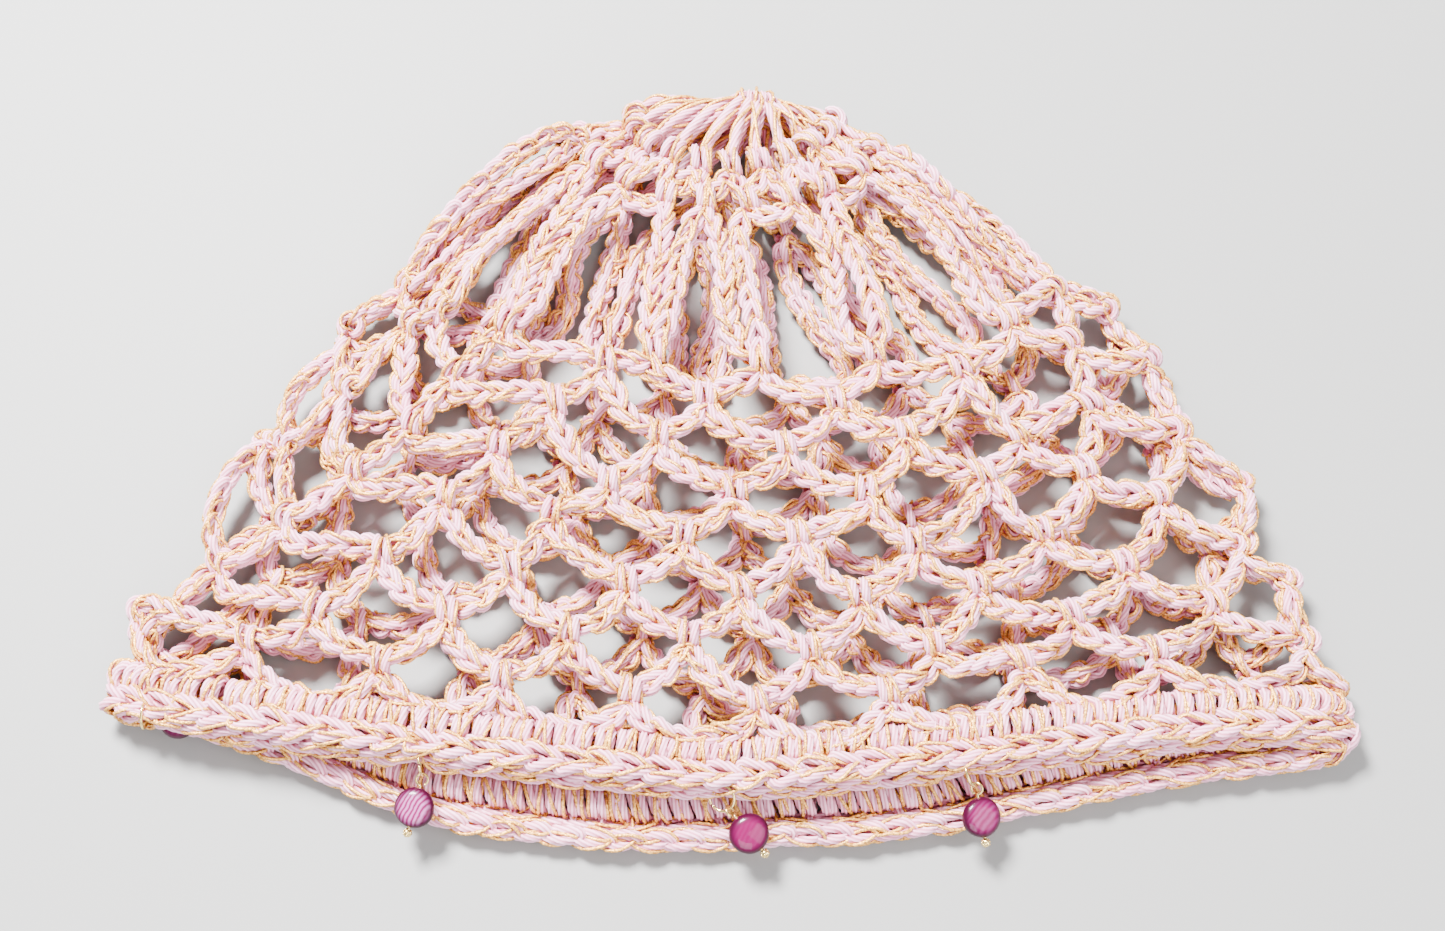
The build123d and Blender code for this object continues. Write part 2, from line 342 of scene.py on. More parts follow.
@dataclass(frozen=True)
class DyedShellFinish:
    """Mother-of-pearl dyed magenta: banded middle, deep rim, clear gloss."""

    pale: tuple = (0.42, 0.13, 0.33)
    dye: tuple = (0.13, 0.0, 0.047)
    rim: tuple = (0.03, 0.0, 0.011)
    grain_turn: tuple = (0.4, 0.3, 0.75)
    grain_step: float = 0.013

    def material(self, number: int, paleness: float) -> bpy.types.Material:
        """Make one bead's material.

        Args:
            number: Which bead.
            paleness: Share of the middle that the dye left pale.

        Returns:
            The shell material.
        """
        sheet = NodeSheet(f"dyed_shell_{number}")
        turned = sheet.add("ShaderNodeMapping", {
            "Rotation": self.grain_turn,
            "Location": (self.grain_step * number, 0.0, 0.0),
            "Vector": sheet.place(),
        }).outputs["Vector"]
        bands = sheet.add("ShaderNodeTexWave", {
            "Scale": 420.0,
            "Distortion": 5.0,
            "Detail": 3.0,
            "Detail Scale": 0.6,
            "Vector": turned,
        }).outputs["Fac"]
        pearl = sheet.ramp(bands, (0.0, self.dye), (1.0, self.pale))
        middle = sheet.mix("MIX", paleness, self.dye, pearl)
        edge = sheet.ramp(sheet.attribute("rim"), (0.55, grey(0.0)), (0.92, grey(1.0)))
        return sheet.finish(sheet.mix("MIX", edge, middle, self.rim), {
            "Normal": sheet.bump(bands, 0.00001, 0.08),
            "Roughness": 0.3,
            "Specular IOR Level": 0.1,
            "Coat Weight": 0.3,
            "Coat Roughness": 0.04,
        })


@dataclass(frozen=True)
class TableFinish:
    """Plain pale table top."""

    colour: tuple = (0.27, 0.267, 0.264)

    def material(self) -> bpy.types.Material:
        """Make the material.

        Returns:
            The table material.
        """
        sheet = NodeSheet("pale_table")
        darker = tuple(0.97 * part for part in self.colour)
        cloud = sheet.ramp(sheet.noise(4.0, 2.0), (0.3, darker), (0.7, self.colour))
        return sheet.finish(cloud, {"Roughness": 0.6})


# ------------------------------------------------------------------ yarn


@dataclass
class Crowding:
    """How much yarn there is round any place, as a coarse grid, in mm, which sets the painted shade
    between yarns.
    """

    cell: float = 0.7
    step: float = 0.35
    low: tuple = (-145.0, -105.0, -6.0)
    high: tuple = (145.0, 100.0, 28.0)

    def __post_init__(self) -> None:
        """Start with an empty grid."""
        span = np.array(self.high) - np.array(self.low)
        self.shape = tuple(int(n) for n in np.ceil(span / self.cell))
        self.grid = np.zeros(self.shape)

    def add(self, skein: "Skein") -> None:
        """Count a skein's yarn in.

        Args:
            skein: The skein.
        """
        for strand in skein.strands:
            lengths = running_length(strand.points)
            spots = sample(strand.points, lengths, np.arange(0.0, lengths[-1], self.step))
            index = np.floor((spots - np.array(self.low)) / self.cell).astype(int)
            index = np.clip(index, 1, np.array(self.shape) - 2)
            flat = np.ravel_multi_index(index.T, self.shape)
            amount = self.step * math.pi * skein.radius ** 2 / self.cell ** 3
            self.grid += amount * np.bincount(flat, minlength=self.grid.size).reshape(self.shape)

    def settle(self) -> None:
        """Spread the yarn over the cells that it fills."""
        for axis in (0, 1, 2):
            self.grid = (np.roll(self.grid, 1, axis) + self.grid + np.roll(self.grid, -1, axis)) / 3

    def at(self, places: np.ndarray) -> np.ndarray:
        """Read the grid.

        Args:
            places: Rows of places.

        Returns:
            Share of each place's surroundings that yarn fills.
        """
        where = (places - np.array(self.low)) / self.cell - 0.5
        base = np.clip(np.floor(where).astype(int), 0, np.array(self.shape) - 2)
        part = np.clip(where - base, 0.0, 1.0)
        total = np.zeros(len(places))
        for corner in range(8):
            step = np.array([corner & 1, corner >> 1 & 1, corner >> 2 & 1])
            weight = np.prod(np.where(step, part, 1 - part), axis=1)
            total += weight * self.grid[tuple((base + step).T)]
        return np.clip(total, 0.0, 1.0)

    def painted_shade(self, places: np.ndarray, away: np.ndarray) -> np.ndarray:
        """Work out the painted shade: how deep places lie between the yarns.

        Args:
            places: Rows of places on a yarn.
            away: Direction out of the yarn at each.

        Returns:
            0 for an open place, up to 1 for a deep place between yarns, which gets the most painted
            shade.
        """
        near = self.at(places + 0.8 * away)
        far = self.at(places + 2.3 * away)
        return np.clip(0.9 * near + 0.45 * far - 0.1, 0, 1)


def smooth_mesh(name: str, points: np.ndarray, faces: np.ndarray, ends: np.ndarray) -> bpy.types.Mesh:
    """Make a smooth closed mesh.

    Args:
        name: Mesh's name.
        points: Rows of points, in metres.
        faces: Rows of four point numbers.
        ends: Rows of point numbers of the strands' end caps.

    Returns:
        The mesh.
    """
    mesh = bpy.data.meshes.new(name)
    mesh.vertices.add(len(points))
    mesh.vertices.foreach_set("co", points.astype(np.float32).ravel())
    corners = np.concatenate([faces.ravel(), ends.ravel()])
    mesh.loops.add(len(corners))
    mesh.loops.foreach_set("vertex_index", corners.astype(np.int32))
    caps = faces.size + np.arange(len(ends)) * ends.shape[1]
    starts = np.concatenate([np.arange(len(faces)) * faces.shape[1], caps])
    mesh.polygons.add(len(starts))
    mesh.polygons.foreach_set("loop_start", starts.astype(np.int32))
    mesh.polygons.foreach_set("use_smooth", np.ones(len(starts), dtype=bool))
    mesh.update(calc_edges=True)
    mesh.validate()
    return mesh


@dataclass
class Strand:
    """One length of yarn: its middle line in mm, and how thick it is there."""

    points: np.ndarray
    thickness: np.ndarray | float = 1.0


@dataclass
class Skein:
    """Strands of one yarn that are swept into one mesh."""

    radius: float
    plies: int
    relief: float
    lay_length: float
    strands: list = field(default_factory=list)

    def add(self, points: np.ndarray, thickness: np.ndarray | float = 1.0) -> None:
        """Add a strand: its middle line, and its share of the yarn's radius."""
        self.strands.append(Strand(points, thickness))

    def rest(self, height: float, give: float = 0.3) -> None:
        """Keep every strand on top of the table, pressed flat where it would sink in.

        Args:
            height: Lowest height of a middle line above the table.
            give: How gently a strand settles on it.
        """
        for strand in self.strands:
            above = (strand.points[:, 2] - height) / give
            strand.points[:, 2] = height + give * np.logaddexp(0.0, above)

    def frames(self) -> tuple:
        """Carry a cross direction along every strand without twisting it.

        Returns:
            Points, cross directions and their partners, padded to one length, and each strand's length.
        """
        counts = np.array([len(s.points) for s in self.strands])
        longest = counts.max()
        tails = [np.repeat(s.points[-1:], longest - len(s.points), axis=0) for s in self.strands]
        points = np.stack([np.vstack([s.points, tail]) for s, tail in zip(self.strands, tails)])
        ahead = np.diff(points, axis=1)
        tangent = np.zeros_like(points)
        tangent[:, 1:-1] = ahead[:, 1:] + ahead[:, :-1]
        tangent[:, 0] = ahead[:, 0]
        tangent[:, -1] = ahead[:, -1]
        for k in range(1, longest):
            flat = np.linalg.norm(tangent[:, k], axis=1) < 1e-9
            tangent[flat, k] = tangent[flat, k - 1]
        tangent = unit(tangent)
        cross = np.zeros_like(points)
        first = np.cross(tangent[:, 0], UP)
        weak = np.linalg.norm(first, axis=1) < 1e-3
        first[weak] = np.array([1.0, 0.0, 0.0])
        cross[:, 0] = unit(first)
        for k in range(1, longest):
            leaning = np.sum(cross[:, k - 1] * tangent[:, k], axis=1, keepdims=True)
            cross[:, k] = unit(cross[:, k - 1] - tangent[:, k] * leaning)
        partner = np.cross(tangent, cross)
        return points, cross, partner, counts

    def companion(self, radius: float, away: float, turn_length: float,
                  rng: np.random.Generator) -> "Skein":
        """Lay a thin thread along every strand, wandering round it.

        Args:
            radius: The thread's radius.
            away: Distance between the two middle lines.
            turn_length: Length of yarn in which it goes round once.
            rng: Random numbers.

        Returns:
            The thread's skein.
        """
        points, cross, partner, counts = self.frames()
        thread = Skein(radius, plies=3, relief=0.0, lay_length=9.0)
        wander, wander_length = 0.6, 5.3
        for index, count in enumerate(counts):
            line = points[index, :count]
            along = running_length(line)
            drift = wander * np.sin(along / wander_length + rng.uniform(0, 6))
            angle = rng.uniform(0, 6.28) + along * 2 * math.pi / turn_length + drift
            thick = np.asarray(self.strands[index].thickness) * np.ones(count)
            reach = (away * thick)[:, None]
            beside = line + reach * (np.cos(angle)[:, None] * cross[index, :count]
                                     + np.sin(angle)[:, None] * partner[index, :count])
            thread.add(beside)
        return thread

    def mesh(self, name: str, material: bpy.types.Material,
             crowding: Crowding | None = None) -> bpy.types.Object:
        """Sweep the strands into one closed mesh.

        Args:
            name: Object's name.
            material: Its material.
            crowding: All the yarn round it, which sets the painted shade.

        Returns:
            The object, in metres.
        """
        points, cross, partner, counts = self.frames()
        sides = 2 * self.plies
        spokes = np.arange(sides)
        relief = np.where(spokes % 2 == 0, 1.0 + self.relief, 1.0 - self.relief)
        rings, faces, ends, valleys, painted_shades = [], [], [], [], []
        base = 0
        for index, count in enumerate(counts):
            line = points[index, :count]
            turn = 2 * math.pi * running_length(line) / self.lay_length
            angle = spokes[None, :] * (2 * math.pi / sides) + turn[:, None]
            thick = np.asarray(self.strands[index].thickness) * np.ones(count)
            reach = self.radius * thick[:, None] * relief[None, :]
            ring = (line[:, None, :]
                    + (reach * np.cos(angle))[:, :, None] * cross[index, :count, None, :]
                    + (reach * np.sin(angle))[:, :, None] * partner[index, :count, None, :])
            rings.append(ring.reshape(-1, 3))
            # Points in the valleys between plies, which the cotton darkens as painted shade.
            valleys.append(np.tile(spokes % 2, count).astype(np.float32))
            # Painted shade: how deep each point lies between the yarns, kept for the finishes to darken.
            if crowding is not None:
                away = unit(ring - line[:, None, :]).reshape(-1, 3)
                painted_shades.append(crowding.painted_shade(rings[-1], away).astype(np.float32))
            first = base + np.arange(count - 1)[:, None] * sides
            low = first + spokes[None, :]
            beside = first + ((spokes + 1) % sides)[None, :]
            faces.append(np.stack([low, beside, beside + sides, low + sides], axis=2).reshape(-1, 4))
            ends += [base + spokes[::-1], base + (count - 1) * sides + spokes]
            base += count * sides
        mesh = smooth_mesh(name, np.vstack(rings) * MM, np.vstack(faces), np.array(ends))
        for title, values in (("valley", valleys), ("painted_shade", painted_shades)):
            if values:
                numbers = mesh.attributes.new(title, "FLOAT", "POINT").data
                numbers.foreach_set("value", np.concatenate(values))
        mesh.materials.append(material)
        body = bpy.data.objects.new(name, mesh)
        bpy.context.scene.collection.objects.link(body)
        return body


@dataclass(frozen=True)
class ChainStitch:
    """How one yarn runs through a row of chain stitches, in mm."""

    pitch: float = 4.3
    half_width: float = 1.9
    depth: float = 1.15

    def loop(self) -> np.ndarray:
        """Control points of one stitch: along in pitches, across in half widths, out in depths.

        Returns:
            Rows of along, across and out.
        """
        return np.array([
            (0.00, -0.10, -0.60), (0.20, -0.26, 0.50), (0.70, -0.72, 0.46), (1.10, -0.82, 0.08),
            (1.30, 0.00, -0.12), (1.10, 0.82, 0.08), (0.70, 0.72, 0.46), (0.20, 0.26, 0.50),
            (0.00, 0.10, -0.60), (0.50, 0.05, -1.05),
        ])

    def lay(self, line: np.ndarray, out: np.ndarray, squeeze: np.ndarray, roll: np.ndarray,
            rng: np.random.Generator, parts: int) -> tuple:
        """Work the chain along a line.

        Args:
            line: Middle line of the chain.
            out: Outward directions at its points.
            squeeze: Share of the full width at its points.
            roll: Turn of the chain about its line at its points, in radians.
            rng: Random numbers.
            parts: Pieces between control points.

        Returns:
            The yarn's middle line, and its thickness at each point.
        """
        lengths = running_length(line)
        total = lengths[-1]
        count = max(2, int(round(total / self.pitch)))
        pitch = total / count
        shape = self.loop()
        begin = np.arange(count)[:, None] * pitch
        wander = rng.normal(0.0, 0.05, (count, len(shape)))
        along = begin + (shape[None, :, 0] + wander) * pitch
        across = shape[None, :, 1] * rng.normal(1.0, 0.07, (count, 1)) * self.half_width
        height = (shape[None, :, 2] + rng.normal(0.0, 0.06, (count, len(shape)))) * self.depth
        at = np.clip(along.ravel(), 0.0, total)
        spare = (along.ravel() - at)[:, None]
        tangent = unit(np.gradient(line, axis=0))
        middle = sample(line, lengths, at)
        forward = unit(sample(tangent, lengths, at))
        outward = sample(out, lengths, at)
        outward = unit(outward - forward * np.sum(outward * forward, axis=1, keepdims=True))
        side = np.cross(outward, forward)
        tilt = np.interp(at, lengths, roll)[:, None]
        turned_side = side * np.cos(tilt) + outward * np.sin(tilt)
        turned_out = outward * np.cos(tilt) - side * np.sin(tilt)
        tight = np.interp(at, lengths, squeeze)[:, None]
        control = (middle + forward * spare + turned_side * across.ravel()[:, None] * tight
                   + turned_out * height.ravel()[:, None] * (0.35 + 0.65 * tight))
        yarn = through(control, parts)
        fine, coarse = (np.linspace(0, 1, len(rows)) for rows in (yarn, control))
        thickness = np.interp(fine, coarse, 0.55 + 0.45 * tight[:, 0])
        return yarn, thickness


# ------------------------------------------------------------------ the flattened cap


@dataclass
class CapForm:
    """The flat cap's shape: its folds, its two layers and the lines that its rounds follow, in mm."""

    outline_power: float = 1.65
    fold_power: float = 2.6
    side_height: float = 141.5
    yarn_inset: float = 2.6
    crown_line: float = 81.3
    crown_fullness: float = 3.0
    brim_lift: float = 12.5
    front_height: float = 11.4
    front_rise: float = 4.6
    fold_height: float = 5.6
    fold_rise: float = 2.6
    back_height: float = 3.5
    front_sag: tuple = (
        (-1.1, 1.5), (-0.78, 8.0), (-0.4, 13.0), (0.0, 16.5), (0.4, 9.0), (0.74, 1.5), (1.1, -2.0),
    )
    back_sag: tuple = (
        (-1.1, 1.0), (-0.78, 7.5), (-0.45, 23.0), (-0.15, 26.0), (0.27, 21.5), (0.74, 7.0), (1.1, 1.0),
    )
    lean: float = -5.8
    lean_y: float = 68.0
    lean_reach: float = 20.0

    def __post_init__(self) -> None:
        """Read the frame's sizes and work out the fold line."""
        crown = np.array(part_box("crown_round_back")) / MM
        edge = np.array(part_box("brim_edge_back")) / MM
        self.half_width = edge[1, 0]
        self.corner = crown[1, 1] - self.side_height
        angle = np.radians(np.linspace(90.0, 0.0, 181))
        x = self.half_width * np.cos(angle) ** (2 / self.outline_power)
        y = self.corner + self.side_height * np.sin(angle) ** (2 / self.outline_power)
        full = smooth_step((y - 45.0) / 30.0)
        spread = self.crown_fullness * full - self.yarn_inset * (1 - full)
        self.fold = np.stack([x + spread * smooth_step(x / 12), np.minimum(y, self.crown_line)], axis=1)
        self.fold_length = running_length(self.fold)

    def edge_y(self, x: np.ndarray, front: bool) -> np.ndarray:
        """Height of a mouth edge in the flat cap's plane.

        Args:
            x: Places across the cap.
            front: Whether it is the front edge.

        Returns:
            The edge's y.
        """
        sag = np.array(self.front_sag if front else self.back_sag)
        fine = np.linspace(-1.1, 1.1, 111)
        drop = np.interp(fine, sag[:, 0], sag[:, 1])
        kernel = np.hanning(17)
        padded = np.pad(drop, 8, mode="edge")
        drop = np.convolve(padded, kernel / kernel.sum(), mode="valid")
        return self.corner - np.interp(np.asarray(x) / self.half_width, fine, drop)

    def ring(self, depth: float, count: int = 720) -> tuple:
        """One closed line round the flat cap.

        Args:
            depth: 0 at the crown, 1 at the top of the brim, and more on the brim.
            count: Points on the line.

        Returns:
            Points and outward directions.
        """
        turn = np.linspace(0.0, 2 * math.pi, count + 1)
        s = signed_power(np.cos(turn), 2 / self.fold_power)
        g = signed_power(np.sin(turn), 2 / self.fold_power)
        front = 0.5 + 0.5 * np.clip(g / 0.5, -1, 1)
        held = min(depth, 1.0)
        brim_top = self.corner + self.brim_lift
        place = held * np.interp(brim_top, self.fold[::-1, 1], self.fold_length[::-1])
        wide = np.interp(place, self.fold_length, self.fold[:, 0])
        side_y = np.interp(place, self.fold_length, self.fold[:, 1])
        x = wide * s
        middles, brims = [], []
        for is_front in (True, False):
            brims.append(self.edge_y(0.0, is_front) + self.brim_lift)
            middles.append(self.crown_line + (brims[-1] - self.crown_line) * held)
        middle = middles[0] * front + middles[1] * (1 - front)
        bow = 0.5 + 0.45 * held
        round_y = side_y - (side_y - middle) * np.clip(1 - s ** 2, 0, 1) ** bow
        edge = self.edge_y(x, True) * front + self.edge_y(x, False) * (1 - front)
        edge_middle = brims[0] * front + brims[1] * (1 - front) - self.brim_lift
        share = np.abs(s) ** 2.2
        brim_y = edge + (middle - edge_middle) * (1 - share) + (side_y - self.corner) * share
        ease = smooth_step(np.array((held - 0.45) / 0.5))
        y = round_y * (1 - ease) + brim_y * ease - (depth - held)
        full = 1.0 - held
        top = self.front_height + self.front_rise * smooth_step(np.array(full / 0.85))
        fold_z = self.fold_height + self.fold_rise * full ** 2
        z = fold_z + np.where(g > 0, top - fold_z, self.back_height - fold_z) * np.abs(g)
        leaning = np.exp(-((y - self.lean_y) / self.lean_reach) ** 2)
        x = x + self.lean * leaning * smooth_step((y + 20) / 60)
        nx = signed_power(s, self.fold_power - 1) * 6.0 / max(wide, 10.0)
        nz = signed_power(g, self.fold_power - 1)
        at_fold = np.abs(s) ** 8
        slope = (side_y - self.corner) / self.side_height
        sideways = np.sign(s) * at_fold * (1.2 - 0.6 * slope) + nx
        out = unit(np.stack([sideways, 0.6 * slope * at_fold, nz], axis=1))
        return np.stack([x, y, z], axis=1), out

    def brim_line(self, lift: float, count: int = 1440) -> tuple:
        """One closed line along the brim.

        Args:
            lift: Distance from the mouth's edge towards the crown.
            count: Points on the line.

        Returns:
            Points and outward directions.
        """
        points, out = self.ring(1.0, count)
        points[:, 1] += lift - self.brim_lift
        return points, out


@dataclass
class RingPath:
    """A closed line that can be read at any share of its length."""

    points: np.ndarray
    out: np.ndarray

    def __post_init__(self) -> None:
        """Measure the line."""
        self.lengths = running_length(self.points)
        self.total = self.lengths[-1]

    def at(self, share: np.ndarray) -> tuple:
        """Read the line.

        Args:
            share: Shares of its length; whole turns don't matter.

        Returns:
            Points, outward directions and directions along the line.
        """
        where = np.mod(np.atleast_1d(share), 1.0) * self.total
        point = sample(self.points, self.lengths, where)
        out = unit(sample(self.out, self.lengths, where))
        tangent = unit(np.gradient(self.points, axis=0))
        tangent[0] = tangent[-1] = unit(tangent[0] + tangent[-1])
        along = unit(sample(tangent, self.lengths, where))
        return point, out, along


# ------------------------------------------------------------------ sub-assemblies


@dataclass
class Finishes:
    """The cap's finishes, each made once."""

    cotton: bpy.types.Material
    thread: bpy.types.Material
    wire: bpy.types.Material


@dataclass
class Workbasket:
    """All crocheted parts, kept as strands until every one is worked, then made into meshes."""

    finishes: Finishes
    parts: list = field(default_factory=list)
    crowding: Crowding = field(default_factory=Crowding)

    def keep(self, name: str, slot: Slot, skein: Skein, nodes: tuple) -> None:
        """Keep one yarn of a part, with the CAD nodes that the part stands for."""
        self.parts.append((name, slot, skein, nodes))
        self.crowding.add(skein)

    def make(self) -> None:
        """Make every mesh and place it on the cap."""
        self.crowding.settle()
        materials = {Slot.COTTON: self.finishes.cotton, Slot.GOLD_THREAD: self.finishes.thread}
        for name, slot, skein, nodes in self.parts:
            piece = skein.mesh(f"{name}_{slot.value}", materials[slot], self.crowding)
            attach(piece, "cap")
            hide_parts(*nodes)
            LOG.info("%s: %d strands, %d faces", piece.name, len(skein.strands), len(piece.data.polygons))


@dataclass
class Crochet:
    """What every crocheted part shares: the cap's form, the yarn and the stitches."""

    form: CapForm
    basket: Workbasket
    yarn_radius: float = 0.90
    thread_radius: float = 0.40
    parts: int = 3

    def skein(self) -> Skein:
        """Start a skein of the cotton."""
        return Skein(self.yarn_radius, 6, 0.17, 15.0)

    def finish(self, name: str, skein: Skein, nodes: tuple, rng: np.random.Generator) -> None:
        """Lay the gold thread along a skein, and keep both in the basket.

        Args:
            name: Name of the part.
            skein: Its strands.
            nodes: CAD nodes that the part stands for.
            rng: Random numbers.
        """
        away = self.yarn_radius + 0.72 * self.thread_radius
        skein.rest(1.15 * self.yarn_radius)
        first_turn, second_turn = 23.0, -34.0
        thread = skein.companion(self.thread_radius, away, first_turn, rng)
        thread.strands += skein.companion(self.thread_radius, away, second_turn, rng).strands
        thread.rest(1.2 * self.thread_radius)
        self.basket.keep(name, Slot.COTTON, skein, nodes)
        self.basket.keep(name, Slot.GOLD_THREAD, thread, nodes)


@dataclass
class NetRound:
    """One round of knots: the y of its front middle, and its front knots from left to right, in mm."""

    middle: float
    front: tuple = ()
    slack: float = 0.5
    sway: float = 0.4


@dataclass
class Net(Crochet):
    """All rounds of the net, from the crown posts to the brim."""

    seed: int = 7
    knots: int = 20
    stitch: ChainStitch = field(default_factory=ChainStitch)
    knot_drop: float = 3.3
    longest: int = 7000

    def rounds(self) -> list:
        """List the rounds, crown first.

        Returns:
            The rounds, the last of which is the brim that the loops are joined to.
        """
        return [
            NetRound(65.0),
            NetRound(56.0, (), 1.2, 1.6),
            NetRound(19.5, ((-72, 36), (-64, 30), (-50, 26), (-19, 21), (3, 19), (27, 22), (55, 32))),
            NetRound(11.0, ((-85, 27), (-70, 26), (-60, 15), (-29, 18), (-8, 11), (19, 11), (45, 20),
                            (68, 28))),
            NetRound(1.0, ((-83, 12), (-68, 3), (-39, 9), (-17, 2), (9, 1), (34, 5), (57, 6), (72, 14))),
            NetRound(-9.0, ((-94, -1), (-79, -7), (-50, -1), (-27, -8), (-1, -9), (26, -8), (50, -3),
                            (71, -1), (92, 10))),
            NetRound(-19.0, ((-92, -18), (-60, -12), (-38, -15), (-11, -19), (12, -18), (36, -19),
                             (62, -15), (86, -6), (105, -2))),
            NetRound(-30.0, ((-105, -28), (-72, -25), (-46, -27), (-22, -29), (1, -30), (25, -30),
                             (49, -27), (79, -21), (104, -15))),
            NetRound(-41.0, ((-119, -45), (-84, -37), (-58, -37), (-33, -40), (-9, -40), (15, -42),
                             (40, -40), (68, -32), (97, -28), (114, -22))),
            NetRound(-52.0, ((-98, -44), (-70, -48), (-46, -50), (-20, -52), (5, -53), (31, -50),
                             (58, -42), (85, -39), (116, -35))),
            NetRound(-62.0, ((-114, -52), (-83, -57), (-58, -59), (-32, -61), (-7, -62), (20, -62),
                             (48, -57), (73, -52), (103, -47), (123, -44))),
        ]

    def depth(self, middle: float) -> float:
        """Depth of a round whose front middle is at a given y."""
        brim = float(self.form.edge_y(0.0, True)) + self.form.brim_lift
        return (self.form.crown_line - middle) / (self.form.crown_line - brim)

    def place(self, this: NetRound, ring: RingPath, shift: float, rng: np.random.Generator) -> tuple:
        """Place a round's knots round its ring.

        Args:
            this: The round.
            ring: Its ring.
            shift: Half step or none, where no front knots are listed.
            rng: Random numbers.

        Returns:
            Shares round the ring, places, outward, along and down directions.
        """
        listed = np.array(this.front, dtype=float).reshape(-1, 2)
        if len(listed):
            half = len(ring.points) // 2
            front_x = ring.points[:half, 0][::-1]
            front_share = ring.lengths[:half][::-1] / ring.total
            share = np.interp(listed[:, 0], front_x, front_share)
            rest = self.knots - len(listed)
            start, stop = share.max(), share.min() + 1.0
            spread = start + (stop - start) * np.arange(1, rest + 1) / (rest + 1)
            share = np.concatenate([share, spread + rng.normal(0.0, 0.07 / self.knots, rest)])
        else:
            share = (np.arange(self.knots) + shift) / self.knots
        place, out, along = ring.at(share)
        if len(listed):
            place[:len(listed), :2] = listed
        down = unit(np.cross(out, along))
        place = place + out * rng.normal(0.0, 0.4, (len(share), 1))
        return share, place, out, along, down

    def build(self) -> None:
        """Make every round."""
        rounds = self.rounds()
        rng = np.random.default_rng(self.seed)
        rings = [RingPath(*self.form.ring(self.depth(r.middle))) for r in rounds]
        placed = []
        for k, (this, ring) in enumerate(zip(rounds, rings)):
            placed.append(self.place(this, ring, 0.5 * (k % 2), rng))
        for k in range(len(rounds) - 1):
            self.work_round(k, rounds[k], placed[k], placed[k + 1], rng)

    def work_round(self, k: int, this: NetRound, own: tuple, host: tuple,
                   rng: np.random.Generator) -> None:
        """Make one round: its chain, and the knots that hold it to the loops above.

        Args:
            k: Its place.
            this: The round.
            own: Its knots, as placed.
            host: The next round's knots, as placed.
            rng: Random numbers.
        """
        stops = sorted((s % 1.0, kind, i) for kind, made in enumerate((own, host))
                       for i, s in enumerate(made[0]))
        anchors = []
        for _, kind, i in stops:
            place, outward, along, down = (part[i] for part in (own, host)[kind][1:])
            anchors.append((place if kind else place + down * self.knot_drop, outward, along, kind, down))
        line, out, tight = [], [], []
        count = 16
        t = (np.arange(count) / count)[:, None]
        swell = np.sin(math.pi * t)
        for a, b in zip(anchors, anchors[1:] + anchors[:1]):
            gap = b[0] - a[0]
            reach = np.linalg.norm(gap)
            sideways = abs(float(np.dot(gap, a[2])))
            low = 0.40 * sideways + 0.08 * reach
            high = 0.34 * reach
            leave = a[2] * low if a[3] else (0.55 * a[2] + 0.83 * a[4]) * high
            arrive = b[2] * low if b[3] else (0.55 * b[2] - 0.83 * b[4]) * high
            points = bezier(a[0], a[0] + leave, b[0] - arrive, b[0], count)
            outs = unit(a[1] * (1 - t) + b[1] * t)
            aside = rng.normal(0.0, this.sway) * np.sin(2 * math.pi * t + rng.uniform(-1, 1)) * swell
            line.append(points + outs * (rng.normal(0.03 * reach, this.slack) * swell) + a[2] * aside)
            out.append(outs)
            distance = np.minimum(t[:, 0], 1 - t[:, 0]) * reach
            tight.append(1.0 - 0.30 * np.exp(-(distance / 2.2) ** 2))
        line = np.vstack(line + [line[0][:1]])
        out = np.vstack(out + [out[0][:1]])
        tight = np.concatenate(tight + [tight[0][:1]])
        wave = np.linspace(0, 2 * math.pi, len(line))
        roll = sum(rng.normal(0, 0.22) * np.sin(wave * n + rng.uniform(0, 6))
                   for n in (5, 11, 17, 23, 37))
        chain, thickness = self.stitch.lay(line, out, tight, roll, rng, self.parts)
        lengths = 2 if len(chain) > self.longest else 1
        cuts = [len(chain) * n // lengths for n in range(lengths + 1)]
        for n, (start, stop) in enumerate(zip(cuts, cuts[1:])):
            skein = self.skein()
            skein.add(chain[start:stop + 1], thickness[start:stop + 1])
            if n == 0:
                for place, outward, along, down in zip(*own[1:]):
                    skein.add(*self.knot(place, outward, along, down, rng))
            name = f"net_round_{k + 1:02d}" + ("", "_second_half")[n]
            self.finish(name, skein, ("net_front", "net_back"), rng)

    def knot(self, place: np.ndarray, out: np.ndarray, along: np.ndarray, down: np.ndarray,
             rng: np.random.Generator) -> tuple:
        """Wrap one single crochet round the loop above.

        Args:
            place: Middle of the knot.
            out: Outward direction.
            along: Direction of the loop that it wraps.
            down: Direction to the brim.
            rng: Random numbers.

        Returns:
            The yarn's middle line and its thickness.
        """
        turns, deep, wide = 1.55, 2.1, 1.8
        theta = np.linspace(0.0, 2 * math.pi * turns, 26)
        share = np.linspace(-1, 1, len(theta))
        slant = rng.normal(0.0, 0.45)
        tall = 2.3 + rng.normal(0.0, 0.12)
        offset = share * wide + slant * np.cos(theta) * 0.8
        line = (place + down * (0.75 + tall * np.cos(theta))[:, None]
                + out * (deep * np.sin(theta))[:, None] + along * offset[:, None])
        return line, np.full(len(line), 0.92)


